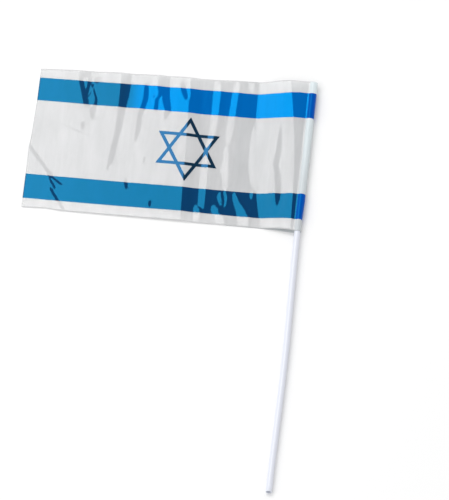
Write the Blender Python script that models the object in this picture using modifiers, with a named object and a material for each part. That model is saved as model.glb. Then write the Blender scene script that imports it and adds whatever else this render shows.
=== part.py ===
"""Stick flag lying on its back: a printed plastic film sheet on a hollow plastic stick.

The sheet lies flat but for its packing folds. Its hoist edge climbs onto the stick, wraps round it and
comes back under the sheet as a flap, which is welded to the sheet near the flap's free edge.

Places are first worked out in the sheet's own frame: x runs across the flag from the stick's axis, the
sheet being on the -x side, y runs up along the stick from the sheet's lower edge, and z is the height
above the surface that the flag lies on. One empty then sets the middle of the whole flag's underside
on the origin.
"""

import math
from collections import namedtuple

import bmesh
import bpy
from mathutils import Matrix, Vector

MM = 0.001

# Stick: a straw-sized tube, straight inside the sleeve and bowed a little below it.
STICK_RADIUS = 3.0 * MM
STICK_WALL = 0.5 * MM
STICK_LENGTH = 437.5 * MM
STICK_TOP_Y = 158.7 * MM
STICK_BOW = 1.5 * MM
STICK_SIDES = 32
STICK_STEPS = 14
BORE_OVERRUN = 5.0 * MM

# Film: the sheet, its sleeve and its flap have one thickness.
FILM_THICKNESS = 1.0 * MM
FIT_GAP = 0.3 * MM
SLEEVE_BOTTOM_Y = -1.1 * MM
SLEEVE_TOP_Y = 159.2 * MM
FILM_ROWS = 18

# The sleeve's inner face follows a circle round the stick, from the left of its top over to its underside.
SLEEVE_RADIUS = STICK_RADIUS + FIT_GAP
SLEEVE_START = math.radians(130)
SLEEVE_END = math.radians(-90)
SLEEVE_STEPS = 14

# A lay line runs across the sheet from its top edge to its lower edge, along a fold or an edge. The
# lifts are the height of the film's underside above the surface, in millimetres like the x values.
LayLine = namedtuple("LayLine", "name x_top x_bottom lift_top lift_bottom")
LAY_LINES = (
    LayLine("fly edge", -265.8, -269.3, 0.00, 0.00),
    LayLine("outer corner field", -256.0, -259.0, 0.20, 0.20),
    LayLine("fly field", -246.0, -249.0, 0.45, 0.40),
    LayLine("inner corner field", -238.0, -240.0, 0.70, 0.60),
    LayLine("outer fold crest", -229.0, -230.0, 0.95, 0.80),
    LayLine("outer fold foot", -216.0, -220.0, 0.65, 0.75),
    LayLine("inner fold crest", -188.0, -194.0, 1.30, 1.30),
    LayLine("inner fold foot", -177.5, -185.5, 0.95, 1.20),
    LayLine("near field", -148.0, -149.0, 1.75, 1.80),
    LayLine("centre crease", -118.6, -113.4, 2.45, 2.40),
    LayLine("crease foot", -108.0, -104.0, 0.50, 0.60),
    LayLine("ridge foot", -100.5, -101.0, 0.10, 0.35),
    LayLine("ridge crest", -91.5, -94.5, 0.80, 0.75),
    LayLine("ridge far foot", -85.5, -89.0, 0.20, 0.20),
    LayLine("flap step foot", -79.0, -83.0, 0.30, 0.30),
    LayLine("flap step crest", -69.5, -73.5, 1.70, 1.60),
    LayLine("over the flap", -60.0, -62.0, 1.35, 1.35),
    LayLine("rise foot", -54.0, -42.0, 1.55, 1.50),
    LayLine("low rise", -44.0, -31.0, 3.30, 2.40),
    LayLine("middle rise", -35.0, -24.0, 5.90, 3.90),
    LayLine("high rise", -28.0, -15.0, 7.70, 5.60),
    LayLine("rise crest", -22.5, -9.0, 8.40, 6.80),
    LayLine("hollow by the stick", -9.5, -6.8, 7.60, 6.50),
    LayLine("sleeve foot", -5.0, -4.8, 7.15, 6.25),
)

# Top and lower edges of the sheet by distance from the stick, in millimetres; straight in between.
EdgePoint = namedtuple("EdgePoint", "x y_top y_bottom")
SHEET_EDGES = (
    EdgePoint(-269.3, 150.3, 0.3),
    EdgePoint(-245.0, 151.3, 1.2),
    EdgePoint(-231.0, 152.0, 0.0),
    EdgePoint(-150.0, 154.2, 0.4),
    EdgePoint(-95.0, 154.9, 0.3),
    EdgePoint(-75.0, 156.2, 0.6),
    EdgePoint(-20.0, 158.9, 0.5),
    EdgePoint(0.0, SLEEVE_TOP_Y / MM, SLEEVE_BOTTOM_Y / MM),
)

# The lower fly corner is creased across and stands up a little.
CORNER_CREASE_TOP = Vector((-268.8, 66.0)) * MM
CORNER_CREASE_BOTTOM = Vector((-227.8, 2.5)) * MM
CORNER_SLOPE = math.tan(math.radians(1.0))

# The flap under the sheet, and the narrow weld that holds it there.
FLAP_EDGE_TOP_X = -67.0 * MM
FLAP_EDGE_BOTTOM_X = -71.0 * MM
FLAP_FLAT_X = -12.0 * MM
FLAP_STEPS = 4
WELD_WIDTH = 3.0 * MM
WELD_INSET = 4.0 * MM
WELD_END_MARGIN = 4.0 * MM

# Colours: white tube, and film seen from a step away between its white field and blue stripes.
STICK_WHITE = (0.80, 0.82, 0.90, 1.0)
FILM_WHITE = (0.62, 0.63, 0.64, 1.0)

STICK_END_Y = STICK_TOP_Y - STICK_LENGTH
SLEEVE_CLEARANCE = FILM_THICKNESS + FIT_GAP


def mix(start, end, share):
    """The value a given share of the way from start to end."""
    return start + (end - start) * share


def stick_axis(y):
    """The stick's centre at height y: it lies on its lower end and on the film under the sleeve."""
    slope = SLEEVE_CLEARANCE / (SLEEVE_BOTTOM_Y - STICK_END_Y)
    free_share = (y - STICK_END_Y) / (SLEEVE_BOTTOM_Y - STICK_END_Y)
    bow = 0.0
    if 0.0 < free_share < 1.0:
        bow = STICK_BOW * (1.0 - math.cos(2.0 * math.pi * free_share)) / 2.0
    return Vector((bow, y, STICK_RADIUS + slope * (y - STICK_END_Y)))


def sheet_edge(x):
    """The y of the sheet's lower and top edges at distance x from the stick."""
    place = min(max(x / MM, SHEET_EDGES[0].x), SHEET_EDGES[-1].x)
    for left, right in zip(SHEET_EDGES, SHEET_EDGES[1:]):
        if place <= right.x:
            share = (place - left.x) / (right.x - left.x)
            bottom = mix(left.y_bottom, right.y_bottom, share)
            top = mix(left.y_top, right.y_top, share)
            return bottom * MM, top * MM
    return SLEEVE_BOTTOM_Y, SLEEVE_TOP_Y


def corner_lift(x, y):
    """How far the creased fly corner stands up at a point of the sheet."""
    along = (CORNER_CREASE_BOTTOM - CORNER_CREASE_TOP).normalized()
    across = Vector((along.y, -along.x))
    past_crease = (Vector((x, y)) - CORNER_CREASE_TOP).dot(across)
    return max(past_crease, 0.0) * CORNER_SLOPE


def sheet_point(line, share):
    """A point of the film's underside on a lay line, from the lower edge (0) to the top edge (1)."""
    x = mix(line.x_bottom, line.x_top, share) * MM
    bottom, top = sheet_edge(x)
    y = mix(bottom, top, share)
    lift = mix(line.lift_bottom, line.lift_top, share) * MM
    return Vector((x, y, lift + corner_lift(x, y)))


def sleeve_point(angle, share):
    """A point of the sleeve's inner face at an angle round the stick."""
    y = mix(SLEEVE_BOTTOM_Y, SLEEVE_TOP_Y, share)
    centre = stick_axis(y)
    return centre + Vector((math.cos(angle), 0.0, math.sin(angle))) * SLEEVE_RADIUS


def flap_point(step, share):
    """A point of the flap's upper face, from beside the stick (step 0) to the flap's free edge."""
    edge_x = mix(FLAP_EDGE_BOTTOM_X, FLAP_EDGE_TOP_X, share)
    x = mix(FLAP_FLAT_X, edge_x, step / FLAP_STEPS)
    bottom, top = sheet_edge(x)
    return Vector((x, mix(bottom, top, share), FILM_THICKNESS))


def film_row(share):
    """One row of the film's inner face, from the fly edge over the stick to the flap's free edge."""
    row = [sheet_point(line, share) for line in LAY_LINES]
    for step in range(SLEEVE_STEPS + 1):
        angle = mix(SLEEVE_START, SLEEVE_END, step / SLEEVE_STEPS)
        row.append(sleeve_point(angle, share))
    row.extend(flap_point(step, share) for step in range(FLAP_STEPS + 1))
    return row


def plain_material(name, colour, roughness):
    material = bpy.data.materials.new(name)
    material.use_nodes = True
    surface = material.node_tree.nodes["Principled BSDF"]
    surface.inputs["Base Color"].default_value = colour
    surface.inputs["Roughness"].default_value = roughness
    surface.inputs["Metallic"].default_value = 0.0
    return material


def add_object(name, mesh, collection, parent, material=None):
    made = bpy.data.objects.new(name, mesh)
    collection.objects.link(made)
    made.parent = parent
    if material is not None:
        made.data.materials.append(material)
    return made


def make_weld(collection, parent):
    """The weld: a thin bar buried in the flap and in the sheet over it, beside the flap's free edge."""
    lower_end = Vector((FLAP_EDGE_BOTTOM_X + WELD_INSET, SLEEVE_BOTTOM_Y + WELD_END_MARGIN, 0.0))
    upper_end = Vector((FLAP_EDGE_TOP_X + WELD_INSET, SLEEVE_TOP_Y - WELD_END_MARGIN, 0.0))
    bottom_z = FILM_THICKNESS / 2.0
    top_z = FILM_THICKNESS * 1.5 + FIT_GAP
    run = upper_end - lower_end
    middle = (lower_end + upper_end) / 2.0 + Vector((0.0, 0.0, (bottom_z + top_z) / 2.0))
    stretch = Matrix.Diagonal((WELD_WIDTH, run.length, top_z - bottom_z, 1.0))
    turn = Matrix.Rotation(math.atan2(-run.x, run.y), 4, "Z")
    mesh = bpy.data.meshes.new("weld_bar")
    shape = bmesh.new()
    bmesh.ops.create_cube(shape, size=1.0, matrix=Matrix.Translation(middle) @ turn @ stretch)
    shape.to_mesh(mesh)
    shape.free()
    weld = add_object("weld_bar", mesh, collection, parent)
    weld.hide_render = True
    weld.display_type = "WIRE"
    return weld


def make_film(collection, cutters, parent):
    """The sheet, sleeve and flap: one open surface given its thickness outwards, then welded."""
    mesh = bpy.data.meshes.new("flag_film")
    shape = bmesh.new()
    rows = []
    for row_index in range(FILM_ROWS + 1):
        points = film_row(row_index / FILM_ROWS)
        rows.append([shape.verts.new(point) for point in points])
    for lower, upper in zip(rows, rows[1:]):
        for left in range(len(lower) - 1):
            shape.faces.new((lower[left], lower[left + 1], upper[left + 1], upper[left]))
    shape.to_mesh(mesh)
    shape.free()
    film = add_object("flag_film", mesh, collection, parent, plain_material("film", FILM_WHITE, 0.25))
    wall = film.modifiers.new("Wall", "SOLIDIFY")
    wall.thickness = FILM_THICKNESS
    wall.offset = 1.0
    wall.use_even_offset = True
    joined = film.modifiers.new("Weld to the flap", "BOOLEAN")
    joined.operation = "UNION"
    joined.object = make_weld(cutters, parent)
    film.data.shade_smooth()
    film.data.set_sharp_from_angle(angle=math.radians(40))
    return film


def tube_mesh(name, radius, overrun, collection):
    """A closed round bar along the stick's axis, as a mesh; overrun lengthens it past both ends."""
    curve = bpy.data.curves.new(name, "CURVE")
    curve.dimensions = "3D"
    curve.bevel_depth = radius
    curve.bevel_resolution = (STICK_SIDES - 4) // 2
    curve.use_fill_caps = True
    spline = curve.splines.new("POLY")
    stations = [mix(STICK_END_Y, SLEEVE_BOTTOM_Y, step / STICK_STEPS) for step in range(STICK_STEPS + 1)]
    stations.append(STICK_TOP_Y)
    points = [stick_axis(y) for y in stations]
    points[0] -= (points[1] - points[0]).normalized() * overrun
    points[-1] += (points[-1] - points[-2]).normalized() * overrun
    spline.points.add(len(points) - 1)
    for control, point in zip(spline.points, points):
        control.co = (*point, 1.0)
    guide = bpy.data.objects.new(name, curve)
    collection.objects.link(guide)
    bpy.context.view_layer.update()
    mesh = bpy.data.meshes.new_from_object(guide.evaluated_get(bpy.context.evaluated_depsgraph_get()))
    mesh.transform(guide.matrix_world)
    bpy.data.objects.remove(guide)
    shape = bmesh.new()
    shape.from_mesh(mesh)
    bmesh.ops.remove_doubles(shape, verts=shape.verts, dist=0.01 * MM)
    bmesh.ops.recalc_face_normals(shape, faces=shape.faces)
    shape.to_mesh(mesh)
    shape.free()
    return mesh


def make_stick(collection, cutters, parent):
    """The tube: a round bar with its bore cut right through."""
    bore_bar = tube_mesh("bore", STICK_RADIUS - STICK_WALL, BORE_OVERRUN, cutters)
    bore = add_object("bore", bore_bar, cutters, parent)
    bore.hide_render = True
    bore.display_type = "WIRE"
    bar = tube_mesh("stick", STICK_RADIUS, 0.0, collection)
    stick = add_object("stick", bar, collection, parent, plain_material("stick", STICK_WHITE, 0.35))
    cut = stick.modifiers.new("Bore", "BOOLEAN")
    cut.operation = "DIFFERENCE"
    cut.object = bore
    stick.data.shade_smooth()
    stick.data.set_sharp_from_angle(angle=math.radians(40))
    return stick


def main():
    for old in list(bpy.data.objects):
        bpy.data.objects.remove(old)
    flag = bpy.data.collections.new("stick_flag")
    cutters = bpy.data.collections.new("cutters")
    bpy.context.scene.collection.children.link(flag)
    bpy.context.scene.collection.children.link(cutters)
    stick_side_x = max(SLEEVE_RADIUS + FILM_THICKNESS, STICK_BOW + STICK_RADIUS)
    middle_x = (LAY_LINES[0].x_bottom * MM + stick_side_x) / 2.0
    middle_y = (STICK_END_Y + SLEEVE_TOP_Y) / 2.0
    base = bpy.data.objects.new("flag_base", None)
    base.location = (-middle_x, -middle_y, 0.0)
    flag.objects.link(base)
    make_film(flag, cutters, base)
    make_stick(flag, cutters, base)


main()
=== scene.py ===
# %% [markdown]
# # A printed film flag on a plastic stick
#
# The real object is a small hand flag. One sheet of thin glossy plastic film is printed with two blue
# stripes and a star. Its hoist edge is wrapped round a slim plastic tube and welded to itself.
# The flag lies on its back, so nearly all that the eye reads comes from how the film mirrors the light:
# flat film mirrors a bright panel and looks pale, and film that leans away from it looks dark.
#
# This lesson builds the film, then the stick, then their finishes, and last the floor and the light.

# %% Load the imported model
import math
from collections import namedtuple

import bmesh
import bpy
import numpy as np
from mathutils import Matrix, Vector


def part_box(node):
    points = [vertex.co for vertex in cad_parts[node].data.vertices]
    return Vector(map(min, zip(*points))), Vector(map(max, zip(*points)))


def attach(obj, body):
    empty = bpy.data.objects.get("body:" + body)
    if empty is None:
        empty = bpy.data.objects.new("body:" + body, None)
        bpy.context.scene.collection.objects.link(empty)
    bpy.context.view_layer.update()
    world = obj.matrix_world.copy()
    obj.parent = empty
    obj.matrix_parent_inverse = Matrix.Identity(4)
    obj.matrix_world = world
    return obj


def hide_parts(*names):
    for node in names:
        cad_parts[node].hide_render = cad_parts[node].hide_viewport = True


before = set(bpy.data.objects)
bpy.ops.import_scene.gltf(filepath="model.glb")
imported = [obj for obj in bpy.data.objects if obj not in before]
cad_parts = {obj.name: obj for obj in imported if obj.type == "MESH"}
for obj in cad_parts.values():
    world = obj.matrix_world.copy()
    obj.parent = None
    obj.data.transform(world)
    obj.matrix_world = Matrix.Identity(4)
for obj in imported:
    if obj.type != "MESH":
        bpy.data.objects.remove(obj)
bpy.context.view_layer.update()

# %% [markdown]
# ## Where things are
#
# Sizes are easiest to read from the stick, so every place below is in millimetres in the sheet's own
# frame: x is the distance from the stick's axis, the sheet lying on the minus side, y runs up the stick
# from the sheet's lower edge, and z is the height above the surface.
# The film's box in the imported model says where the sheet's frame stands in the whole object's.

# %% The sheet's own frame
MM = 0.001
SLEEVE_OUTER = 4.3
SLEEVE_BOTTOM = -1.1
SLEEVE_TOP = 159.2

film_low, film_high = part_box("flag_film")
SHEET_ORIGIN = Vector((film_high.x - SLEEVE_OUTER * MM, film_low.y - SLEEVE_BOTTOM * MM, 0.0))


def in_object_frame(x, y, z):
    """A point given in sheet millimetres, in metres in the whole object's frame."""
    return Vector((x, y, z)) * MM + SHEET_ORIGIN


print("stick axis stands at x =", round(SHEET_ORIGIN.x, 4), "m")

# %% [markdown]
# ## The camera first
#
# The photograph was taken from far away and from 65 degrees above the surface, turned a few degrees to
# one side. A very long lens at eighteen metres gives the same almost parallel lines.
# The picture is taken to be 449 pixels wide and 500 high, so Blender fits the sensor to its height.

# %% Camera
CAMERA_AZIMUTH = math.radians(5.79)
CAMERA_ELEVATION = math.radians(65.0)
CAMERA_DISTANCE = 18.0
PICTURE_HEIGHT = 0.485
SENSOR = 36.0
VIEW_RIGHT_SHIFT = -70.9
VIEW_UP_SHIFT = -19.8

view_right = Vector((math.cos(CAMERA_AZIMUTH), math.sin(CAMERA_AZIMUTH), 0.0))
view_back = Vector((
    math.sin(CAMERA_AZIMUTH) * math.cos(CAMERA_ELEVATION),
    -math.cos(CAMERA_AZIMUTH) * math.cos(CAMERA_ELEVATION),
    math.sin(CAMERA_ELEVATION),
))
view_up = view_back.cross(view_right)
sleeve_foot = in_object_frame(0.0, 2.0, 3.0)
view_target = sleeve_foot + (view_right * VIEW_RIGHT_SHIFT + view_up * VIEW_UP_SHIFT) * MM

camera_data = bpy.data.cameras.new("camera")
camera_data.sensor_width = SENSOR
camera_data.lens = SENSOR * CAMERA_DISTANCE / PICTURE_HEIGHT
camera_data.clip_end = 100.0
camera = bpy.data.objects.new("camera", camera_data)
camera.matrix_world = Matrix.Translation(view_target + view_back * CAMERA_DISTANCE) @ Matrix((
    (view_right.x, view_up.x, view_back.x, 0.0),
    (view_right.y, view_up.y, view_back.y, 0.0),
    (view_right.z, view_up.z, view_back.z, 0.0),
    (0.0, 0.0, 0.0, 1.0),
))
bpy.context.scene.collection.objects.link(camera)
bpy.context.scene.camera = camera
print("lens", round(camera_data.lens), "mm")

# %% [markdown]
# ## The lie of the film
#
# The film was folded flat in its packing, so it lies in broad facets that meet along nearly straight
# lines. Each lay line below crosses the sheet from its top edge to its lower edge, and gives the height
# of the film there. Between two lines the film is almost flat. A line with a bow bends sideways at its
# middle by that much.
# A cloth simulation would make soft round waves. Stiff film does not lie like that, so the lines
# are placed on the imported model's own folds.

# %% Lay lines and edges
LayLine = namedtuple("LayLine", "name x_top x_bottom lift_top lift_bottom bow", defaults=(0.0,))
LAY_LINES = (
    LayLine("fly edge", -265.8, -269.3, 0.08, 0.08),
    LayLine("outer corner field", -256.0, -259.0, 0.25, 0.25),
    LayLine("fly field", -246.0, -249.0, 0.45, 0.40),
    LayLine("outer fold crest", -229.0, -230.0, 0.85, 0.75),
    LayLine("outer fold foot", -216.0, -220.0, 0.80, 0.85),
    LayLine("inner fold crest", -188.0, -194.0, 1.20, 1.25),
    LayLine("inner fold foot", -177.5, -185.5, 0.85, 1.40),
    LayLine("near field", -148.0, -149.0, 1.75, 1.80),
    LayLine("centre crease", -118.6, -113.4, 2.45, 2.40),
    LayLine("crease foot", -108.0, -103.5, 1.00, 1.00),
    LayLine("hollow field", -85.5, -89.0, 0.85, 0.85),
    LayLine("flap edge", -70.0, -72.0, 0.72, 0.72),
    LayLine("over the flap", -60.0, -60.0, 0.62, 0.62),
    LayLine("rise foot", -51.0, -35.0, 0.55, 0.45, -5.0),
    LayLine("low rise", -43.0, -29.0, 3.10, 2.20, -2.0),
    LayLine("middle rise", -36.0, -23.0, 5.60, 3.90, 1.0),
    LayLine("high rise", -29.0, -15.0, 7.50, 5.60, 2.5),
    LayLine("rise crest", -22.5, -6.8, 8.40, 6.90, 4.0),
    LayLine("hollow by the stick", -9.5, -5.4, 7.60, 6.50),
    LayLine("sleeve foot", -4.6, -4.4, 7.25, 6.25),
)

SheetEdge = namedtuple("SheetEdge", "x y_top y_bottom")
SHEET_EDGES = (
    SheetEdge(-269.3, 150.3, 0.3),
    SheetEdge(-245.0, 151.3, 1.2),
    SheetEdge(-231.0, 152.0, 0.0),
    SheetEdge(-190.0, 153.2, 0.1),
    SheetEdge(-150.0, 154.2, 0.4),
    SheetEdge(-118.0, 154.4, 0.6),
    SheetEdge(-95.0, 154.9, 0.3),
    SheetEdge(-75.0, 156.2, 0.6),
    SheetEdge(-46.0, 156.9, 0.8),
    SheetEdge(-20.0, 158.9, 0.5),
    SheetEdge(0.0, SLEEVE_TOP, SLEEVE_BOTTOM),
)

# The fly edge is not quite straight: it steps in a little above the creased corner.
FlyPoint = namedtuple("FlyPoint", "y x")
FLY_EDGE = (
    FlyPoint(0.0, -269.2),
    FlyPoint(36.0, -268.9),
    FlyPoint(66.0, -269.0),
    FlyPoint(72.0, -268.2),
    FlyPoint(84.0, -267.4),
    FlyPoint(116.0, -266.1),
    FlyPoint(151.0, -265.7),
)

# The print follows the film, and drifts up a little where the film was pulled round the stick.
PrintLine = namedtuple("PrintLine", "x low_stripe_bottom low_stripe_top high_stripe_bottom high_stripe_top")
PRINT_LINES = (
    PrintLine(-269.3, 10.2, 36.5, 116.3, 140.7),
    PrintLine(-187.0, 10.3, 36.4, 116.4, 141.7),
    PrintLine(-172.0, 10.4, 36.5, 116.7, 142.3),
    PrintLine(-126.0, 10.9, 36.7, 116.6, 142.5),
    PrintLine(-97.0, 11.2, 37.1, 116.9, 143.1),
    PrintLine(-56.0, 11.1, 37.5, 117.6, 143.6),
    PrintLine(-30.0, 11.6, 37.8, 118.5, 144.7),
    PrintLine(-12.0, 11.7, 38.6, 119.6, 146.8),
    PrintLine(0.0, 11.2, 38.6, 119.9, 146.9),
)
print("lay lines:", len(LAY_LINES), "and places of the print:", len(PRINT_LINES))

# %% [markdown]
# ## Small folds
#
# On top of the facets lie narrow folds, puckers and dents. Each is one entry: a path of points, the
# width of its leaning side, and how far the film climbs there towards the stick. A climbing side
# mirrors the bright panel and a falling side does not, so a positive climb draws a pale streak on dark
# film and a negative one draws a dark streak on pale film. The film eases back over the given distance.
# A fold with a lead begins to turn that far before its leaning side, so less is left to ease back.
# Every fold fades out at both ends of its path, over a length that grows with its climb. The pinch has
# a longer end of its own, because a short one draws a hook at its tip.

# %% Small folds
Fold = namedtuple("Fold", "name climb ease path lead end", defaults=(0.0, 0.0))
FOLDS = (
    Fold("streak beside the crease", 0.55, 6.0, (
        (-93.3, 158.0, 5.5), (-92.3, 141.7, 7.0), (-92.2, 116.0, 6.5), (-92.4, 99.7, 5.5),
        (-97.0, 76.6, 3.0), (-96.6, 62.0, 6.0), (-96.2, 36.0, 6.5), (-95.8, 18.0, 6.0),
        (-97.5, 12.0, 7.0),
    )),
    Fold("spread end of that streak", 0.45, 3.0, (
        (-103.0, 19.0, 3.0), (-100.5, 13.5, 7.0), (-97.5, 0.0, 6.5),
    )),
    Fold("streak over the flap edge, upper", 0.50, 5.0, (
        (-72.7, 160.0, 4.5), (-74.6, 140.3, 6.0), (-75.4, 115.0, 6.2), (-76.2, 99.0, 7.0),
        (-76.6, 86.0, 4.0),
    )),
    Fold("streak over the flap edge, lower", 0.40, 5.0, (
        (-78.0, 86.0, 3.5), (-76.8, 69.0, 5.0), (-77.1, 59.3, 8.0), (-75.3, 50.9, 5.5),
        (-74.2, 36.5, 5.0),
    )),
    Fold("teardrop at the top edge", 0.40, 4.0, (
        (-60.8, 160.0, 7.0), (-59.4, 150.0, 6.0), (-57.0, 143.0, 3.0),
    )),
    Fold("ring pucker, left side", 0.40, 2.0, (
        (-79.5, 36.0, 2.0), (-79.0, 29.5, 3.4), (-75.5, 20.0, 3.4),
    )),
    Fold("ring pucker, right side", 0.40, 2.0, (
        (-75.5, 37.5, 1.8), (-72.8, 30.5, 3.0), (-73.0, 19.0, 3.0),
    )),
    Fold("pucker on the lower line", 0.45, 3.0, (
        (-86.0, 20.0, 2.5), (-81.5, 14.5, 8.0), (-76.0, 9.0, 6.0),
    )),
    Fold("pucker in the lower margin", 0.50, 3.0, (
        (-80.0, 14.0, 3.0), (-76.5, 6.0, 9.0), (-72.5, -6.0, 6.0),
    )),
    Fold("three-cornered dent", 0.60, 3.0, (
        (-66.5, 37.0, 2.0), (-62.0, 26.0, 5.5), (-57.0, 17.0, 9.0), (-54.0, 9.0, 12.0),
        (-52.0, -8.0, 9.0),
    )),
    Fold("speck beside that dent", 0.30, 2.0, (
        (-50.5, 20.0, 1.8), (-49.0, 17.0, 3.0), (-48.0, 14.0, 1.5),
    )),
    Fold("short dent above it", 0.30, 2.5, (
        (-49.0, 40.5, 3.0), (-48.3, 35.0, 3.0), (-48.0, 30.0, 1.4),
    )),
    Fold("belly before the rise", 0.35, 8.0, (
        (-53.5, 110.0, 1.5), (-52.5, 88.0, 5.0), (-51.0, 66.0, 7.0), (-48.5, 50.0, 6.0),
        (-43.5, 40.0, 2.0),
    )),
    Fold("dark wedge on the rise", -1.80, 8.0, (
        (-27.6, 120.0, 2.0), (-27.0, 103.0, 4.0), (-26.4, 84.0, 6.5), (-28.4, 68.0, 8.0),
        (-25.3, 58.0, 8.5), (-23.2, 42.0, 9.0), (-22.8, 30.0, 8.0), (-22.3, 8.0, 3.0),
    ), lead=9.0),
    Fold("speck on the rise", -0.35, 3.0, ((-19.4, 70.5, 2.0), (-18.8, 63.0, 2.0))),
    Fold("outer fold at the top edge", -0.95, 12.0, (
        (-221.0, 172.0, 17.0), (-220.5, 148.0, 16.0), (-220.5, 134.0, 7.0),
    )),
    Fold("outer fold, main stroke", -0.42, 8.0, (
        (-227.0, 149.0, 2.8), (-225.3, 140.0, 3.2), (-221.8, 129.6, 4.2), (-218.6, 120.2, 5.6),
        (-217.2, 111.0, 4.5),
    )),
    Fold("outer fold, side stroke", -0.50, 3.0, (
        (-217.2, 147.0, 4.4), (-217.9, 131.5, 3.8), (-220.0, 122.0, 2.0),
    )),
    Fold("outer fold, thin curve", -0.30, 3.0, (
        (-216.5, 143.0, 1.6), (-211.4, 129.7, 1.9), (-207.6, 120.0, 1.6),
    )),
    Fold("outer fold, tail", -0.45, 9.0, (
        (-209.0, 127.0, 1.5), (-209.4, 119.5, 4.2), (-211.5, 110.0, 6.5), (-209.5, 98.0, 2.0),
    )),
    Fold("pinch in the fly field", -0.26, 5.5, (
        (-247.0, 95.6, 1.4), (-227.3, 88.2, 1.8), (-205.0, 81.4, 1.4),
    ), end=16.0),
    Fold("smudge by the pinch", -0.26, 9.0, (
        (-219.8, 99.0, 2.4), (-219.0, 92.5, 4.4), (-218.5, 87.0, 3.0),
    )),
    Fold("inner fold, upper part", -0.55, 10.0, (
        (-182.3, 170.0, 8.0), (-181.0, 140.1, 9.6), (-181.4, 128.0, 8.6), (-182.6, 117.4, 6.4),
        (-183.7, 96.7, 5.4), (-185.8, 80.3, 4.2), (-187.4, 66.0, 4.8), (-188.3, 58.0, 5.0),
        (-188.9, 51.5, 5.5),
    ), lead=14.0),
    Fold("dot under the inner fold", -0.25, 5.0, ((-190.2, 55.0, 2.2), (-190.8, 47.0, 2.2))),
    Fold("corner crease, upper", -0.50, 1.0, (
        (-279.0, 79.8, 4.0), (-256.5, 52.0, 4.2), (-242.5, 34.5, 3.0),
    ), lead=10.0),
    Fold("corner stroke, upper", -0.36, 10.0, (
        (-247.6, 38.6, 1.8), (-239.5, 32.6, 2.8), (-230.4, 25.8, 1.8),
    )),
    Fold("corner stroke, middle", -0.32, 0.6, (
        (-247.2, 35.4, 1.6), (-242.0, 28.4, 2.8), (-237.6, 22.0, 2.0),
    ), lead=5.0),
    Fold("corner stroke, lower", -0.36, 0.6, (
        (-246.2, 27.6, 1.4), (-240.2, 18.0, 2.6), (-233.8, 9.2, 2.4),
    ), lead=5.0),
    Fold("corner crease, lower", -0.70, 3.0, (
        (-237.2, 13.4, 1.8), (-232.2, 6.8, 2.6), (-219.0, -11.5, 2.6),
    ), lead=7.0),
    Fold("crossing fold", -0.65, 4.0, (
        (-162.4, 148.0, 2.0), (-161.4, 139.0, 4.4), (-161.0, 128.0, 5.0), (-163.0, 117.0, 4.8),
        (-165.1, 108.5, 4.4), (-165.0, 94.7, 4.8), (-167.0, 78.0, 2.4),
    ), lead=9.0),
    Fold("broad dent in the upper stripe", -1.00, 8.0, (
        (-146.2, 172.0, 12.0), (-145.0, 141.0, 13.0), (-141.8, 129.5, 8.5), (-138.6, 119.5, 6.5),
        (-137.5, 106.0, 4.0),
    ), lead=5.0),
    Fold("broad dent, outer leg", -0.70, 2.0, (
        (-147.5, 139.0, 3.0), (-149.5, 128.0, 5.0), (-150.5, 112.0, 4.0),
    ), lead=4.0),
    Fold("broad dent, tail", -0.24, 6.0, ((-140.7, 116.5, 4.0), (-139.5, 106.0, 3.0))),
    Fold("small dark patch before the crease", -0.55, 3.0, (
        (-128.2, 152.0, 4.0), (-125.0, 140.0, 6.5), (-120.3, 128.5, 3.0),
    ), lead=3.0),
    Fold("faint dent by the star", -0.15, 8.0, (
        (-155.0, 67.0, 1.5), (-156.0, 62.0, 2.2), (-157.0, 57.0, 1.2),
    )),
    Fold("speck in the lower stripe", -0.34, 4.0, (
        (-172.2, 42.0, 2.0), (-170.6, 34.5, 3.2), (-169.0, 27.5, 2.4),
    )),
    Fold("second speck", -0.30, 3.0, ((-145.8, 20.5, 2.2), (-145.0, 11.0, 2.4))),
)
print("small folds:", len(FOLDS))

# %% [markdown]
# ## The film as one thin sheet
#
# The sheet, the sleeve round the stick and the flap underneath are one cut piece of film, so they are
# one mesh. Its columns run from the fly edge to the stick, round it and back under the sheet. Its rows
# follow the printed lines, so each stripe ends exactly on a row and its edge stays sharp at any size.
# The first function below gives the height of the facets, and the last adds the folds: it measures the
# distance to each path and raises the film there.

# %% Film heights
def along_lines(share, top_values, bottom_values):
    """Values of the lay lines at a share of the way from the lower edge to the top edge."""
    return bottom_values + (top_values - bottom_values) * share


LINE_X_TOP = np.array([line.x_top for line in LAY_LINES])
LINE_X_BOTTOM = np.array([line.x_bottom for line in LAY_LINES])
LINE_BOW = np.array([line.bow for line in LAY_LINES])
LIFT_TOP = np.array([line.lift_top for line in LAY_LINES])
LIFT_BOTTOM = np.array([line.lift_bottom for line in LAY_LINES])
EDGE_X = np.array([edge.x for edge in SHEET_EDGES])
EDGE_TOP = np.array([edge.y_top for edge in SHEET_EDGES])
EDGE_BOTTOM = np.array([edge.y_bottom for edge in SHEET_EDGES])

CORNER_CREASE_TOP = np.array((-268.8, 66.0))
CORNER_CREASE_BOTTOM = np.array((-227.8, 2.5))
CORNER_SLOPE = math.tan(math.radians(1.0))


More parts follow.
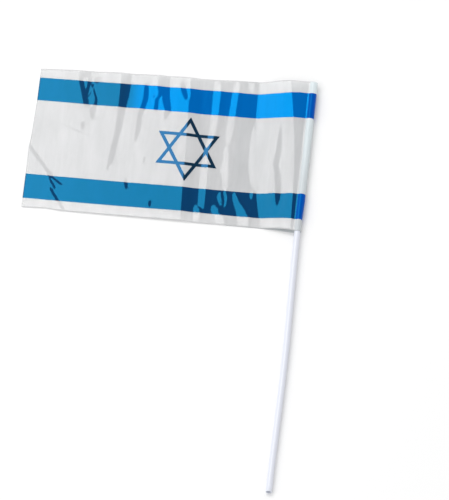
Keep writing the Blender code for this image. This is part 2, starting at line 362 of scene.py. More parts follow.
def facet_height(x, y):
    """Height of the film's facets at points of the sheet, with the outer corner tipped up at its crease."""
    bottom = np.interp(x, EDGE_X, EDGE_BOTTOM)
    top = np.interp(x, EDGE_X, EDGE_TOP)
    share = np.clip((y - bottom) / (top - bottom), 0.0, 1.0)
    height = np.zeros_like(x)
    for row in range(x.shape[0]):
        row_share = float(share[row].mean())
        bow = LINE_BOW * 4.0 * row_share * (1.0 - row_share)
        line_x = along_lines(row_share, LINE_X_TOP, LINE_X_BOTTOM) + bow
        height[row] = np.interp(x[row], line_x, along_lines(row_share, LIFT_TOP, LIFT_BOTTOM))
    along = CORNER_CREASE_BOTTOM - CORNER_CREASE_TOP
    along = along / np.linalg.norm(along)
    past_crease = (x - CORNER_CREASE_TOP[0]) * along[1] - (y - CORNER_CREASE_TOP[1]) * along[0]
    return height + np.maximum(past_crease, 0.0) * CORNER_SLOPE


def smooth_step(value):
    """A soft ramp from 0 to 1."""
    clipped = np.clip(value, 0.0, 1.0)
    return clipped * clipped * (3.0 - 2.0 * clipped)


SHORTEST_END = 4.0
END_PER_CLIMB = 17.0


def fold_height(x, y, fold):
    """How far one small fold raises the film at points of the sheet."""
    points = np.array(fold.path)
    nearest = np.full(x.shape, np.inf)
    offset = np.zeros_like(x)
    width = np.ones_like(x)
    end_distance = np.zeros_like(x)
    lengths = np.linalg.norm(np.diff(points[:, :2], axis=0), axis=1)
    total = lengths.sum()
    start_length = 0.0
    for first, second, length in zip(points[:-1], points[1:], lengths):
        run = (second[:2] - first[:2]) / length
        local = np.clip((x - first[0]) * run[0] + (y - first[1]) * run[1], 0.0, length)
        away_x = x - first[0] - run[0] * local
        away_y = y - first[1] - run[1] * local
        distance = np.hypot(away_x, away_y)
        closer = distance < nearest
        side = np.sign(away_x * abs(run[1]) - away_y * run[0] * np.sign(run[1] or 1.0))
        nearest = np.where(closer, distance, nearest)
        offset = np.where(closer, distance * side, offset)
        width = np.where(closer, first[2] + (second[2] - first[2]) * local / length, width)
        way = start_length + local
        end_distance = np.where(closer, np.minimum(way, total - way), end_distance)
        start_length += length
    across = offset / width + 0.5
    lean = (smooth_step(across) + np.clip(across, 0.0, 1.0)) / 2.0
    before = fold.lead / (fold.lead + fold.ease)
    shape = lean - (1.0 - before) * smooth_step((offset - width / 2.0) / fold.ease)
    if fold.lead:
        shape = shape - before * smooth_step((offset + width / 2.0 + fold.lead) / fold.lead)
    end_fade = smooth_step(end_distance / max(SHORTEST_END, fold.end, END_PER_CLIMB * abs(fold.climb)))
    return fold.climb * shape * end_fade


# %% [markdown]
# The columns stand less than a millimetre apart, close enough for the narrowest folds. The facets are
# smoothed a little before the folds are added, because even a sharp crease in film has a small radius.
# The sleeve is not tight all the way: it stands a little slack on the side away from the sheet, except
# close to its lower end.

# %% Film grid
FLY_COLUMNS = 150
DETAIL_START = -130.0
STICK_COLUMNS = 150
FRONT_END = -4.2
FLY_BLEND = 25.0
WRAP_RADIUS = 3.35
WRAP_START = math.radians(133)
WRAP_END = math.radians(-90)
WRAP_COLUMNS = 36
FLAP_FLAT_X = -12.0
FLAP_RISE_X = -52.0
FLAP_WELD_X = -60.0
FLAP_EDGE_TOP = -67.0
FLAP_EDGE_BOTTOM = -71.0
FLAP_COLUMNS = 30
FLAP_REST = 0.12
SLEEVE_SLACK = 0.75
SLACK_START = 4.0
SLACK_FULL = 34.0
ROWS_IN_BAND = (8, 24, 54, 24, 9)
SMOOTHING_PASSES = 2
LOWEST_FILM = 0.06
LAYER_GAP = 0.14
STICK_RADIUS = 3.0
STICK_TOP = 158.7
STICK_END = -278.8
STICK_RISE = 1.3


def stick_height(y):
    """Height of the stick's axis: it lies on its lower end and on the film under the sleeve."""
    return STICK_RADIUS + STICK_RISE * (y - STICK_END) / (SLEEVE_BOTTOM - STICK_END)


def row_places(x):
    """The y of every row at a distance from the stick, along the printed lines."""
    limits = [np.interp(x, EDGE_X, EDGE_BOTTOM)]
    stations = [line.x for line in PRINT_LINES]
    for part in PrintLine._fields[1:]:
        limits.append(np.interp(x, stations, [getattr(line, part) for line in PRINT_LINES]))
    limits.append(np.interp(x, EDGE_X, EDGE_TOP))
    rows = [limits[0]]
    for count, low, high in zip(ROWS_IN_BAND, limits, limits[1:]):
        rows.extend(low + (high - low) * step / count for step in range(1, count + 1))
    return rows


def film_grid():
    """Points of the film's inner face, row by row."""
    front = np.concatenate((
        np.linspace(EDGE_X[0], DETAIL_START, FLY_COLUMNS, endpoint=False),
        np.linspace(DETAIL_START, FRONT_END, STICK_COLUMNS),
    ))
    grid_y = np.array([row_places(x) for x in front]).T
    grid_x = np.repeat(front[None, :], grid_y.shape[0], axis=0)
    fly_shift = np.interp(grid_y[:, 0], [p.y for p in FLY_EDGE], [p.x for p in FLY_EDGE]) - EDGE_X[0]
    near_fly = np.clip(1.0 - (front - EDGE_X[0]) / FLY_BLEND, 0.0, 1.0)
    grid_x = grid_x + fly_shift[:, None] * near_fly[None, :]
    grid_z = facet_height(grid_x, grid_y)
    for _ in range(SMOOTHING_PASSES):
        grid_z[:, 1:-1] = (grid_z[:, :-2] + 2.0 * grid_z[:, 1:-1] + grid_z[:, 2:]) / 4.0
    for fold in FOLDS:
        grid_z += fold_height(grid_x, grid_y, fold)
    grid_z = np.maximum(grid_z, LOWEST_FILM)
    columns = [np.stack((grid_x[:, i], grid_y[:, i], grid_z[:, i]), axis=1) for i in range(len(front))]
    sleeve_rows = np.array(row_places(0.0))
    slack_share = (sleeve_rows - SLACK_START) / (SLACK_FULL - SLACK_START)
    for step in range(WRAP_COLUMNS + 1):
        angle = WRAP_START + (WRAP_END - WRAP_START) * step / WRAP_COLUMNS
        slack = SLEEVE_SLACK * max(math.cos(angle), 0.0) * smooth_step(slack_share)
        x = math.cos(angle) * WRAP_RADIUS + slack
        z = stick_height(sleeve_rows) + math.sin(angle) * WRAP_RADIUS
        columns.append(np.stack((x, sleeve_rows, z), axis=1))
    for step in range(1, FLAP_COLUMNS + 1):
        columns.append(flap_column(step / FLAP_COLUMNS, grid_x, grid_y, grid_z, sleeve_rows))
    return np.stack(columns, axis=1)


def flap_column(part, front_x, front_y, front_z, sleeve_rows):
    """One column of the flap, which lies on the surface and rises to its weld under the sheet."""
    share = (sleeve_rows - SLEEVE_BOTTOM) / (SLEEVE_TOP - SLEEVE_BOTTOM)
    edge_x = along_lines(share, FLAP_EDGE_TOP, FLAP_EDGE_BOTTOM)
    x = edge_x * part
    y = np.array([row_places(place)[index] for index, place in enumerate(x)])
    over = np.array([np.interp(x[row], front_x[row], front_z[row]) for row in range(len(x))])
    sleeve_z = stick_height(sleeve_rows) - WRAP_RADIUS
    down = smooth_step(x / FLAP_FLAT_X)
    rise = smooth_step((x - FLAP_RISE_X) / (FLAP_WELD_X - FLAP_RISE_X))
    low = sleeve_z + (FLAP_REST - sleeve_z) * down
    z = low + (over - LAYER_GAP - low) * rise
    return np.stack((x, y, np.maximum(z, FLAP_REST)), axis=1)


# On the flat cut the sheet's columns keep their x, and those past it stand as far apart as on the
# wrapped film.
film_points = film_grid()
middle_row = film_points[film_points.shape[0] // 2]
steps = np.linalg.norm(np.diff(middle_row, axis=0), axis=1)
front_count = FLY_COLUMNS + STICK_COLUMNS
cut_places = np.concatenate(([0.0], np.cumsum(steps)))
cut_places[:front_count] = middle_row[:front_count, 0] - middle_row[0, 0]
cut_places[front_count:] += cut_places[front_count - 1] - np.cumsum(steps)[front_count - 2]
CUT_WIDTH = float(cut_places[-1])
CUT_LENGTH = SLEEVE_TOP - SLEEVE_BOTTOM
print("film grid:", film_points.shape[:2])
print("flat cut in mm:", round(CUT_WIDTH, 1), "by", round(CUT_LENGTH, 1))

# %% [markdown]
# The mesh carries a UV map named cut, which is the flat film before it was wrapped. All printed
# patterns read it, so they follow the film round the stick. A Solidify modifier gives the thickness.

# %% Film mesh
FILM_THICKNESS = 0.10
STRIPE_BANDS = (1, 3)


def band_of_rows():
    """For each strip of faces between two rows, whether it is printed solid."""
    bands = []
    for index, count in enumerate(ROWS_IN_BAND):
        bands.extend([index in STRIPE_BANDS] * count)
    return bands


def film_mesh(points, places):
    rows, columns = points.shape[:2]
    mesh = bpy.data.meshes.new("film_sheet")
    shape = bmesh.new()
    cut_map = shape.loops.layers.uv.new("cut")
    verts = [[shape.verts.new(in_object_frame(*points[r, c])) for c in range(columns)] for r in range(rows)]
    printed = band_of_rows()
    for r in range(rows - 1):
        for c in range(columns - 1):
            corners = ((r, c), (r, c + 1), (r + 1, c + 1), (r + 1, c))
            face = shape.faces.new([verts[i][j] for i, j in corners])
            face.smooth = True
            face.material_index = 1 if printed[r] else 0
            for loop, (i, j) in zip(face.loops, corners):
                height = (points[i, j, 1] - SLEEVE_BOTTOM) / CUT_LENGTH
                loop[cut_map].uv = (places[j] / CUT_WIDTH, height)
    shape.to_mesh(mesh)
    shape.free()
    return mesh


film = bpy.data.objects.new("film_sheet", film_mesh(film_points, cut_places))
bpy.context.scene.collection.objects.link(film)
wall = film.modifiers.new("Film thickness", "SOLIDIFY")
wall.thickness = FILM_THICKNESS * MM
wall.offset = 1.0
print("film faces before its thickness:", len(film.data.polygons))

# %% [markdown]
# ## The stick
#
# The stick is an extruded tube that bows a little below the sleeve. Its shape is a rule, a circle
# swept along a path, so Geometry Nodes make it. The tree draws a straight line from end to end,
# pushes its free part sideways by a cosine, and sweeps the circle along it. The inputs have names, so
# the same tree gives a thicker or a straighter stick.

# %% Stick by Geometry Nodes
STICK_WALL = 0.5
STICK_BOW = 1.5
STICK_SIDES = 48
STICK_STEPS = 72
MERGE_DISTANCE = 0.01


def place_node(tree, kind, **settings):
    """Adds a node and sets its plain properties."""
    made = tree.nodes.new(kind)
    for name, value in settings.items():
        setattr(made, name, value)
    return made


def math_step(tree, operation, first, second=None, clamp=False):
    """One Math node on one or two values, each a socket or a number."""
    made = place_node(tree, "ShaderNodeMath", operation=operation, use_clamp=clamp)
    for socket, value in zip(made.inputs, (first, second)):
        if isinstance(value, (int, float)):
            socket.default_value = value
        elif value is not None:
            tree.links.new(value, socket)
    return made.outputs[0]


def stick_tree():
    tree = bpy.data.node_groups.new("bowed tube", "GeometryNodeTree")
    tree.interface.new_socket("Geometry", in_out="INPUT", socket_type="NodeSocketGeometry")
    sizes = {
        "Radius": STICK_RADIUS * MM,
        "Bow": STICK_BOW * MM,
        "Free share": (SLEEVE_BOTTOM - STICK_END) / (STICK_TOP - STICK_END),
    }
    for name, size in sizes.items():
        socket = tree.interface.new_socket(name, in_out="INPUT", socket_type="NodeSocketFloat")
        socket.default_value = size
    for name in ("Lower end", "Upper end"):
        tree.interface.new_socket(name, in_out="INPUT", socket_type="NodeSocketVector")
    tree.interface.new_socket("Plastic", in_out="INPUT", socket_type="NodeSocketMaterial")
    tree.interface.new_socket("Geometry", in_out="OUTPUT", socket_type="NodeSocketGeometry")
    given = place_node(tree, "NodeGroupInput")
    line = place_node(tree, "GeometryNodeCurvePrimitiveLine")
    tree.links.new(given.outputs["Lower end"], line.inputs["Start"])
    tree.links.new(given.outputs["Upper end"], line.inputs["End"])
    stations = place_node(tree, "GeometryNodeResampleCurve")
    stations.inputs["Count"].default_value = STICK_STEPS
    tree.links.new(line.outputs["Curve"], stations.inputs["Curve"])
    factor = place_node(tree, "GeometryNodeSplineParameter").outputs["Factor"]
    free_part = math_step(tree, "DIVIDE", factor, given.outputs["Free share"], clamp=True)
    wave = math_step(tree, "COSINE", math_step(tree, "MULTIPLY", free_part, 2.0 * math.pi))
    bell = math_step(tree, "MULTIPLY", math_step(tree, "SUBTRACT", 1.0, wave), 0.5)
    sideways = place_node(tree, "ShaderNodeCombineXYZ")
    tree.links.new(math_step(tree, "MULTIPLY", bell, given.outputs["Bow"]), sideways.inputs["X"])
    bend = place_node(tree, "GeometryNodeSetPosition")
    tree.links.new(stations.outputs["Curve"], bend.inputs["Geometry"])
    tree.links.new(sideways.outputs["Vector"], bend.inputs["Offset"])
    ring = place_node(tree, "GeometryNodeCurvePrimitiveCircle")
    ring.inputs["Resolution"].default_value = STICK_SIDES
    tree.links.new(given.outputs["Radius"], ring.inputs["Radius"])
    sweep = place_node(tree, "GeometryNodeCurveToMesh")
    tree.links.new(bend.outputs["Geometry"], sweep.inputs["Curve"])
    tree.links.new(ring.outputs["Curve"], sweep.inputs["Profile Curve"])
    real = place_node(tree, "GeometryNodeRealizeInstances")
    tree.links.new(sweep.outputs["Mesh"], real.inputs["Geometry"])
    coat = place_node(tree, "GeometryNodeSetMaterial")
    tree.links.new(real.outputs["Geometry"], coat.inputs["Geometry"])
    tree.links.new(given.outputs["Plastic"], coat.inputs["Material"])
    result = place_node(tree, "NodeGroupOutput")
    tree.links.new(coat.outputs["Geometry"], result.inputs["Geometry"])
    return tree


def tube_from_tree(plastic):
    """Runs the tree on an empty mesh and keeps its result as a plain mesh."""
    guide = bpy.data.objects.new("stick_guide", bpy.data.meshes.new("stick_guide"))
    bpy.context.scene.collection.objects.link(guide)
    modifier = guide.modifiers.new("Tube", "NODES")
    modifier.node_group = stick_tree()
    ends = {
        "Lower end": in_object_frame(0.0, STICK_END, stick_height(STICK_END)),
        "Upper end": in_object_frame(0.0, STICK_TOP, stick_height(STICK_TOP)),
        "Plastic": plastic,
    }
    for item in modifier.node_group.interface.items_tree:
        if item.in_out == "INPUT" and item.name in ends:
            modifier[item.identifier] = ends[item.name]
    evaluated = guide.evaluated_get(bpy.context.evaluated_depsgraph_get())
    mesh = bpy.data.meshes.new_from_object(evaluated)
    bpy.data.objects.remove(guide)
    shape = bmesh.new()
    shape.from_mesh(mesh)
    bmesh.ops.remove_doubles(shape, verts=shape.verts, dist=MERGE_DISTANCE * MM)
    bmesh.ops.recalc_face_normals(shape, faces=shape.faces)
    for face in shape.faces:
        face.smooth = True
    shape.to_mesh(mesh)
    shape.free()
    return mesh


# %% [markdown]
# ## Finishes
#
# Film and stick are both extruded, so both carry fine lines in the direction in which they were
# drawn. That effect is one node group: long thin noise gives a small change of tone and a small
# height. A second group draws the star, from the distance to the sides of two triangles.

# %% Shared node groups
STAR_RADIUS = 34.5
STAR_STROKE = 3.3
COSINE_OF_30 = math.sqrt(0.75)
SINE_OF_30 = 0.5


def value_group(name, inputs, outputs):
    """An empty shader group with the named value inputs and outputs, and its two end nodes."""
    tree = bpy.data.node_groups.new(name, "ShaderNodeTree")
    for label, kind, default in inputs:
        socket = tree.interface.new_socket(label, in_out="INPUT", socket_type=kind)
        if default is not None:
            socket.default_value = default
    for label, kind in outputs:
        tree.interface.new_socket(label, in_out="OUTPUT", socket_type=kind)
    return tree, place_node(tree, "NodeGroupInput"), place_node(tree, "NodeGroupOutput")


def drawn_lines_group():
    """Noise stretched along one direction, as a tone near 1 and a height from 0 to 1."""
    tree, given, result = value_group(
        "drawn lines",
        (
            ("Place", "NodeSocketVector", None),
            ("Across", "NodeSocketFloat", 0.5),
            ("Along", "NodeSocketFloat", 0.01),
            ("Contrast", "NodeSocketFloat", 0.05),
        ),
        (("Tone", "NodeSocketFloat"), ("Height", "NodeSocketFloat")),
    )
    stretch = place_node(tree, "ShaderNodeCombineXYZ")
    tree.links.new(given.outputs["Across"], stretch.inputs["X"])
    tree.links.new(given.outputs["Along"], stretch.inputs["Y"])
    tree.links.new(given.outputs["Across"], stretch.inputs["Z"])
    scaled = place_node(tree, "ShaderNodeVectorMath", operation="MULTIPLY")
    tree.links.new(given.outputs["Place"], scaled.inputs[0])
    tree.links.new(stretch.outputs["Vector"], scaled.inputs[1])
    noise = place_node(tree, "ShaderNodeTexNoise", noise_dimensions="3D")
    noise.inputs["Scale"].default_value = 1.0
    noise.inputs["Detail"].default_value = 3.0
    noise.inputs["Roughness"].default_value = 0.6
    tree.links.new(scaled.outputs["Vector"], noise.inputs["Vector"])
    centred = math_step(tree, "SUBTRACT", noise.outputs["Fac"], 0.5)
    swing = math_step(tree, "MULTIPLY", centred, given.outputs["Contrast"])
    tree.links.new(math_step(tree, "ADD", swing, 1.0), result.inputs["Tone"])
    tree.links.new(noise.outputs["Fac"], result.inputs["Height"])
    return tree


def star_group():
    """Two triangles, one pointing up and one down. A stroke is what lies just inside their three sides."""
    tree, given, result = value_group(
        "outlined star",
        (
            ("X", "NodeSocketFloat", 0.0),
            ("Y", "NodeSocketFloat", 0.0),
            ("Radius", "NodeSocketFloat", STAR_RADIUS),
            ("Stroke", "NodeSocketFloat", STAR_STROKE),
        ),
        (("Mask", "NodeSocketFloat"),),
    )
    side_distance = math_step(tree, "MULTIPLY", given.outputs["Radius"], 0.5)
    from_middle = math_step(tree, "ABSOLUTE", given.outputs["X"])
    side_reach = math_step(tree, "MULTIPLY", from_middle, COSINE_OF_30)
    masks = []
    for pointing in (1.0, -1.0):
        height = math_step(tree, "MULTIPLY", given.outputs["Y"], pointing)
        base_side = math_step(tree, "MULTIPLY", height, -1.0)
        slanted = math_step(tree, "ADD", side_reach, math_step(tree, "MULTIPLY", height, SINE_OF_30))
        reach = math_step(tree, "MAXIMUM", base_side, slanted)
        outside = math_step(tree, "SUBTRACT", reach, side_distance)
        inside = math_step(tree, "LESS_THAN", outside, 0.0)
        inner_edge = math_step(tree, "MULTIPLY", given.outputs["Stroke"], -1.0)
        near_edge = math_step(tree, "GREATER_THAN", outside, inner_edge)
        masks.append(math_step(tree, "MULTIPLY", inside, near_edge))
    tree.links.new(math_step(tree, "MAXIMUM", masks[0], masks[1]), result.inputs["Mask"])
    return tree


DRAWN_LINES = drawn_lines_group()
OUTLINED_STAR = star_group()
print("shared groups:", DRAWN_LINES.name, "and", OUTLINED_STAR.name)

# %% [markdown]
# The film itself is clear plastic with a thin milky print. The white print is not quite solid, so the
# surface shows through a little, and it is paler in the two margins and towards the fly edge. The blue
# ink is denser and mirrors in its own colour, which a metallic share gives, and the star's dark ink is
# nearly all metallic. Towards the stick the upper stripe gets painted light: a soft ramp mixes the teal
# ink with a brighter blue, as if a lit white sheet lay beneath it. On the sleeve the film is duller and has
# no bump. Its colour there is painted light, paler and bluer as if the white tube shone through, and
# weaker towards the sleeve's lower end.

# %% Film finishes
STAR_X = -115.0
STAR_Y = 77.4
WHITE_PRINT = (0.695, 0.70, 0.712, 1.0)
THIN_WHITE = (0.83, 0.835, 0.84, 1.0)
# The sleeve's whites are painted light: paler than the sheet, as if the white tube shone through, and
# weaker towards the sleeve's lower end.
SLEEVE_PAINTED_WHITE_LOW = (0.72, 0.76, 0.78, 1.0)
SLEEVE_PAINTED_WHITE_HIGH = (0.86, 0.94, 0.96, 1.0)
STRIPE_TEAL = (0.004, 0.031, 0.126, 1.0)
FLY_TEAL = (0.006, 0.044, 0.152, 1.0)
# Painted light: the brighter blue of the upper stripe towards the stick, as if a white sheet lay beneath
# it.
AZURE_PAINTED_LIGHT = (0.0, 0.108, 0.440, 1.0)
# The sleeve's blue is painted light: a brighter blue, as if the white tube shone through the ink.
SLEEVE_PAINTED_BLUE = (0.0, 0.055, 0.410, 1.0)
STAR_BLUE = (0.006, 0.038, 0.084, 1.0)
INK_TINT = (0.0, 0.80, 0.84, 1.0)
STAR_METALLIC = 0.93
TEAL_METALLIC = 0.25
AZURE_METALLIC = 0.12
STAR_ALPHA = 0.97
WHITE_ALPHA = 0.60
BLUE_ALPHA = 0.99
WHITE_GLOSS = 0.41
FILM_ROUGHNESS = 0.06
SLEEVE_ROUGHNESS = 0.32
FILM_IOR = 1.5
RIPPLE_SHARE = 6.0
FILM_BUMP_STRENGTH = 0.25
FILM_BUMP_DISTANCE = 0.02

# Each ramp is two places in millimetres: where the change begins and where it is complete.
SLEEVE_BEGINS_X = (-3.6, -2.4)
FLY_SIDE_X = (-130.0, -275.0)
# Where the upper stripe's painted light begins and where it is complete.
PAINTED_AZURE_X = (-184.0, -158.0)
UPPER_STRIPE_Y = (70.0, 90.0)
LOW_MARGIN_Y = (14.0, 8.0)
HIGH_MARGIN_Y = (139.0, 145.0)
# Where the sleeve's painted light fades, from the lower end up.
SLEEVE_PAINTED_LIGHT_Y = (0.0, 130.0)
MARGIN_THINNING = 0.45
FLY_THINNING = 0.25

# A Mix node has a set of sockets for each kind of data, so its colours are found by number.
MIX_SHARE = 0
MIX_FIRST_COLOUR = 6
MIX_SECOND_COLOUR = 7
MIX_COLOUR_OUT = 2


def mix_colours(tree, share, first, second, blend="MIX"):
    """A colour between two, each a socket or a plain colour."""
    made = place_node(tree, "ShaderNodeMix", data_type="RGBA", blend_type=blend)
    values = ((MIX_SHARE, share), (MIX_FIRST_COLOUR, first), (MIX_SECOND_COLOUR, second))
    for index, value in values:
        socket = made.inputs[index]
        if isinstance(value, (int, float, tuple)):
            socket.default_value = value
        else:
            tree.links.new(value, socket)
    return made.outputs[MIX_COLOUR_OUT]


def ramp_between(tree, value, begins, complete):
    """0 before the first place, 1 past the second, and soft in between."""
    made = place_node(tree, "ShaderNodeMapRange", interpolation_type="SMOOTHSTEP")
    tree.links.new(value, made.inputs["Value"])
    made.inputs["From Min"].default_value = begins
    made.inputs["From Max"].default_value = complete
    return made.outputs["Result"]


def plain_finish(name):
    """A new material, its node tree and its Principled BSDF."""
    material = bpy.data.materials.new(name)
    material.use_nodes = True
    tree = material.node_tree
    return material, tree, tree.nodes["Principled BSDF"]


def place_group(tree, group, **values):
    """A shared group in a material, with its values set or linked."""
    made = place_node(tree, "ShaderNodeGroup", node_tree=group)
    for label, value in values.items():
        if isinstance(value, (int, float)):
            made.inputs[label].default_value = value
        else:
            tree.links.new(value, made.inputs[label])
    return made


def cut_millimetres(tree):
    """The place on the flat cut in millimetres: x from the stick's axis, y from the lower edge."""
    cut = place_node(tree, "ShaderNodeUVMap", uv_map="cut")
    scaled = place_node(tree, "ShaderNodeVectorMath", operation="MULTIPLY_ADD")
    tree.links.new(cut.outputs["UV"], scaled.inputs[0])
    scaled.inputs[1].default_value = (CUT_WIDTH, CUT_LENGTH, 0.0)
    scaled.inputs[2].default_value = (float(middle_row[0, 0]), SLEEVE_BOTTOM, 0.0)
    parts = place_node(tree, "ShaderNodeSeparateXYZ")
    tree.links.new(scaled.outputs[0], parts.inputs[0])
    return scaled.outputs[0], parts.outputs["X"], parts.outputs["Y"]


def film_surface(tree, surface, place, x, alpha):
    """What both prints share: drawn lines and broad ripples, a duller sleeve, and a sheer film."""
    on_sleeve = ramp_between(tree, x, *SLEEVE_BEGINS_X)
    lines = place_group(tree, DRAWN_LINES, Place=place, Across=0.9, Along=0.012, Contrast=0.06)
    # The ripples' tone is painted shade: it follows their height, darker in the hollows and paler on the
    # crests.
    ripple_bump_and_painted_shade = place_group(tree, DRAWN_LINES, Place=place, Across=0.09, Along=0.02, Contrast=0.26)
    waves = math_step(tree, "MULTIPLY", ripple_bump_and_painted_shade.outputs["Height"], RIPPLE_SHARE)
    off_sleeve = math_step(tree, "SUBTRACT", 1.0, on_sleeve)
    lines_and_waves = math_step(tree, "ADD", lines.outputs["Height"], waves)
    heights = math_step(tree, "MULTIPLY", lines_and_waves, off_sleeve)
    bump = place_node(tree, "ShaderNodeBump")
    bump.inputs["Strength"].default_value = FILM_BUMP_STRENGTH
    bump.inputs["Distance"].default_value = FILM_BUMP_DISTANCE * MM
    tree.links.new(heights, bump.inputs["Height"])
    tree.links.new(bump.outputs["Normal"], surface.inputs["Normal"])
    duller = math_step(tree, "MULTIPLY", on_sleeve, SLEEVE_ROUGHNESS - FILM_ROUGHNESS)
    tree.links.new(math_step(tree, "ADD", duller, FILM_ROUGHNESS), surface.inputs["Roughness"])
    surface.inputs["Alpha"].default_value = alpha
    surface.inputs["IOR"].default_value = FILM_IOR
    # The tone returned carries the drawn lines and the ripples' painted shade.
    return math_step(tree, "MULTIPLY", lines.outputs["Tone"], ripple_bump_and_painted_shade.outputs["Tone"]), on_sleeve


def tone_colour(tree, colour, tone):
    """A colour made a little paler or darker by a tone near 1."""
    return mix_colours(tree, 1.0, colour, grey_from(tree, tone), blend="MULTIPLY")


def grey_from(tree, value):
    """A value as a grey colour."""
    made = place_node(tree, "ShaderNodeCombineColor")
    for label in ("Red", "Green", "Blue"):
        tree.links.new(value, made.inputs[label])
    return made.outputs["Color"]


def white_film():
    material, tree, surface = plain_finish("film, milky white")
    place, x, y = cut_millimetres(tree)
    tone, on_sleeve = film_surface(tree, surface, place, x, WHITE_ALPHA)
    star = place_group(
        tree, OUTLINED_STAR,
        X=math_step(tree, "SUBTRACT", x, STAR_X),
        Y=math_step(tree, "SUBTRACT", y, STAR_Y),
    )
    low_margin = ramp_between(tree, y, *LOW_MARGIN_Y)
    high_margin = ramp_between(tree, y, *HIGH_MARGIN_Y)
    in_margin = math_step(tree, "MAXIMUM", low_margin, high_margin)
    margin = math_step(tree, "MULTIPLY", in_margin, MARGIN_THINNING)
    fly_side = math_step(tree, "MULTIPLY", ramp_between(tree, x, *FLY_SIDE_X), FLY_THINNING)
    thin = math_step(tree, "ADD", margin, fly_side, clamp=True)
    sheet_white = mix_colours(tree, thin, WHITE_PRINT, THIN_WHITE)
    # The sleeve's white is painted light, weaker towards its lower end.
    sleeve_light_ramp = ramp_between(tree, y, *SLEEVE_PAINTED_LIGHT_Y)
    sleeve_painted_white = mix_colours(tree, sleeve_light_ramp, SLEEVE_PAINTED_WHITE_LOW, SLEEVE_PAINTED_WHITE_HIGH)
    white = mix_colours(tree, on_sleeve, sheet_white, sleeve_painted_white)
    # The white carries the sleeve's painted light, and tone carries the ripples' painted shade.
    printed = mix_colours(tree, star.outputs["Mask"], tone_colour(tree, white, tone), STAR_BLUE)
    tree.links.new(printed, surface.inputs["Base Color"])
    star_metallic = math_step(tree, "MULTIPLY", star.outputs["Mask"], STAR_METALLIC)
    tree.links.new(star_metallic, surface.inputs["Metallic"])
    surface.inputs["Specular IOR Level"].default_value = WHITE_GLOSS
    dense = math_step(tree, "MULTIPLY", star.outputs["Mask"], STAR_ALPHA - WHITE_ALPHA)
    tree.links.new(math_step(tree, "ADD", dense, WHITE_ALPHA), surface.inputs["Alpha"])
    return material


def blue_film():
    material, tree, surface = plain_finish("film, stripe blue")
    place, x, y = cut_millimetres(tree)
    tone, on_sleeve = film_surface(tree, surface, place, x, BLUE_ALPHA)
    # Painted light: towards the stick the upper stripe is mixed to a brighter blue.
    upper = ramp_between(tree, y, *UPPER_STRIPE_Y)
    towards_stick = ramp_between(tree, x, *PAINTED_AZURE_X)
    painted_azure_share = math_step(tree, "MULTIPLY", upper, towards_stick)
    teal = mix_colours(tree, ramp_between(tree, x, *FLY_SIDE_X), STRIPE_TEAL, FLY_TEAL)
    ink_and_painted_azure = mix_colours(tree, painted_azure_share, teal, AZURE_PAINTED_LIGHT)
    # On the sleeve the blue is painted light, as if the white tube shone through.
    blue = mix_colours(tree, on_sleeve, ink_and_painted_azure, SLEEVE_PAINTED_BLUE)
    # The blue carries the painted light of the upper stripe and the sleeve, and tone carries the ripples'
    # painted shade.
    tree.links.new(tone_colour(tree, blue, tone), surface.inputs["Base Color"])
    less_metallic = math_step(tree, "MULTIPLY", painted_azure_share, AZURE_METALLIC - TEAL_METALLIC)
    flat_metallic = math_step(tree, "ADD", less_metallic, TEAL_METALLIC)
    off_sleeve = math_step(tree, "SUBTRACT", 1.0, on_sleeve)
    tree.links.new(math_step(tree, "MULTIPLY", flat_metallic, off_sleeve), surface.inputs["Metallic"])
    surface.inputs["Specular Tint"].default_value = INK_TINT
    return material


film.data.materials.append(white_film())
film.data.materials.append(blue_film())
print("film finishes:", [material.name for material in film.data.materials])

# %% [markdown]
# The stick is dense white plastic with a cool tint. Along it run the drawn lines of extrusion, as a
# small change of tone and a shallow bump, so that it doesn't look like a flat fill. The tube's wall is
# a Solidify modifier, and a small Bevel softens its rims.

# %% Stick finish and mesh
STICK_WHITE = (0.735, 0.76, 0.84, 1.0)
STICK_ROUGHNESS = 0.32
STICK_BUMP_STRENGTH = 0.3
STICK_BUMP_DISTANCE = 0.05
RIM_WIDTH = 0.12
RIM_ANGLE = math.radians(50)


def stick_plastic():
    material, tree, surface = plain_finish("stick, white plastic")
    place = place_node(tree, "ShaderNodeTexCoord").outputs["Object"]
    in_mm = place_node(tree, "ShaderNodeVectorMath", operation="SCALE")
    tree.links.new(place, in_mm.inputs[0])
    in_mm.inputs["Scale"].default_value = 1.0 / MM
    place_mm = in_mm.outputs[0]
    lines = place_group(tree, DRAWN_LINES, Place=place_mm, Across=2.2, Along=0.02, Contrast=0.05)
    tree.links.new(tone_colour(tree, STICK_WHITE, lines.outputs["Tone"]), surface.inputs["Base Color"])
    bump = place_node(tree, "ShaderNodeBump")
    bump.inputs["Strength"].default_value = STICK_BUMP_STRENGTH
    bump.inputs["Distance"].default_value = STICK_BUMP_DISTANCE * MM
    tree.links.new(lines.outputs["Height"], bump.inputs["Height"])
    tree.links.new(bump.outputs["Normal"], surface.inputs["Normal"])
    surface.inputs["Roughness"].default_value = STICK_ROUGHNESS
    return material


stick = bpy.data.objects.new("stick_tube", tube_from_tree(stick_plastic()))
bpy.context.scene.collection.objects.link(stick)
stick_wall = stick.modifiers.new("Tube wall", "SOLIDIFY")
stick_wall.thickness = STICK_WALL * MM
stick_wall.offset = -1.0
stick_wall.use_even_offset = True
lip = stick.modifiers.new("Soft rims", "BEVEL")
lip.width = RIM_WIDTH * MM
lip.segments = 2
lip.limit_method = "ANGLE"
lip.angle_limit = RIM_ANGLE
print("stick faces:", len(stick.data.polygons))

# %% [markdown]
# ## Floor and light
#
# The surroundings are a plain studio: a near-white floor, an even white sky, one long soft panel and
# one weaker key light. The panel stands where flat film mirrors it into the camera. Its edge is placed
# so that film just left of the centre crease still mirrors it and film beyond the crease does not.
# The key light stands on the fly side and rounds off the stick.

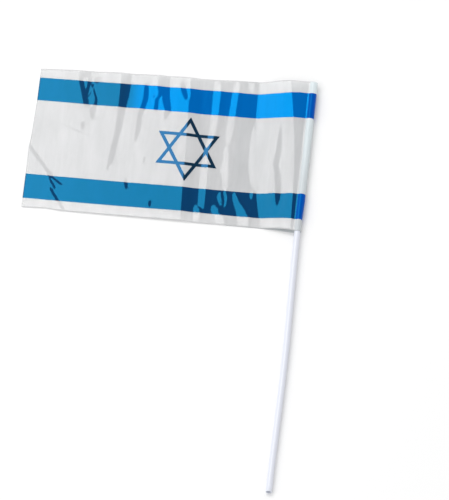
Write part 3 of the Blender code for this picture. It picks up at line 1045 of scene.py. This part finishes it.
# %% Floor, panel and sky
FLOOR_SIZE = 40.0
PANEL_DISTANCE = 3.8
PANEL_WIDTH = 3.26
PANEL_HEIGHT = 1.09
PANEL_EDGE_X = -281.0
PANEL_RADIANCE = 5.4
SKY_STRENGTH = 0.745
KEY_PLACE = Vector((-2.2, -0.8, 2.4))
KEY_SIZE = 2.0
KEY_RADIANCE = 1.8
SHEET_MIDDLE_Y = 80.0
FLOOR_WHITE = 0.93
FLOOR_ROUGHNESS = 0.9


def make_floor():
    mesh = bpy.data.meshes.new("floor")
    half = FLOOR_SIZE / 2.0
    corners = ((-half, -half, 0.0), (half, -half, 0.0), (half, half, 0.0), (-half, half, 0.0))
    mesh.from_pydata(corners, [], [(0, 1, 2, 3)])
    floor_object = bpy.data.objects.new("floor", mesh)
    bpy.context.scene.collection.objects.link(floor_object)
    material, tree, surface = plain_finish("floor, matt white")
    surface.inputs["Base Color"].default_value = (FLOOR_WHITE, FLOOR_WHITE, FLOOR_WHITE, 1.0)
    surface.inputs["Roughness"].default_value = FLOOR_ROUGHNESS
    surface.inputs["Specular IOR Level"].default_value = 0.0
    mesh.materials.append(material)
    return floor_object


def make_panel():
    """A soft panel whose long side is level and which faces the flag."""
    to_panel = 2.0 * view_back.z * Vector((0.0, 0.0, 1.0)) - view_back
    facing = Vector((0.0, to_panel.y, to_panel.z)).normalized()
    data = bpy.data.lights.new("panel", "AREA")
    data.shape = "RECTANGLE"
    data.size = PANEL_WIDTH
    data.size_y = PANEL_HEIGHT
    data.energy = PANEL_RADIANCE * math.pi * PANEL_WIDTH * PANEL_HEIGHT
    panel = bpy.data.objects.new("panel", data)
    upward = facing.cross(Vector((1.0, 0.0, 0.0)))
    edge = in_object_frame(PANEL_EDGE_X, SHEET_MIDDLE_Y, 0.0)
    centre = Vector((edge.x - PANEL_WIDTH / 2.0, edge.y, 0.0)) + facing * PANEL_DISTANCE
    panel.matrix_world = Matrix((
        (1.0, upward.x, facing.x, centre.x),
        (0.0, upward.y, facing.y, centre.y),
        (0.0, upward.z, facing.z, centre.z),
        (0.0, 0.0, 0.0, 1.0),
    ))
    panel.visible_camera = False
    bpy.context.scene.collection.objects.link(panel)
    return panel


def make_key():
    """A weaker soft light from the fly side, which rounds off the stick."""
    data = bpy.data.lights.new("key", "AREA")
    data.shape = "SQUARE"
    data.size = KEY_SIZE
    data.energy = KEY_RADIANCE * math.pi * KEY_SIZE * KEY_SIZE
    key = bpy.data.objects.new("key", data)
    key.location = KEY_PLACE
    key.rotation_euler = KEY_PLACE.to_track_quat("Z", "Y").to_euler()
    key.visible_camera = False
    bpy.context.scene.collection.objects.link(key)
    return key


def make_sky():
    world = bpy.data.worlds.new("studio")
    world.use_nodes = True
    background = world.node_tree.nodes["Background"]
    background.inputs["Color"].default_value = (1.0, 1.0, 1.0, 1.0)
    background.inputs["Strength"].default_value = SKY_STRENGTH
    bpy.context.scene.world = world


floor = make_floor()
panel = make_panel()
key = make_key()
make_sky()
bpy.context.scene.view_settings.view_transform = "Standard"
print("panel gives", round(panel.data.energy), "W and the key light", round(key.data.energy), "W")

# %% [markdown]
# ## Attach the pieces
#
# Both pieces ride on the one body and stand for their plain solids, whose imported parts are hidden.

# %% Attach and hide
for piece, node_name, slot_name in ((film, "flag_film", "film"), (stick, "stick", "stick")):
    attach(piece, "root")
    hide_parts(node_name)
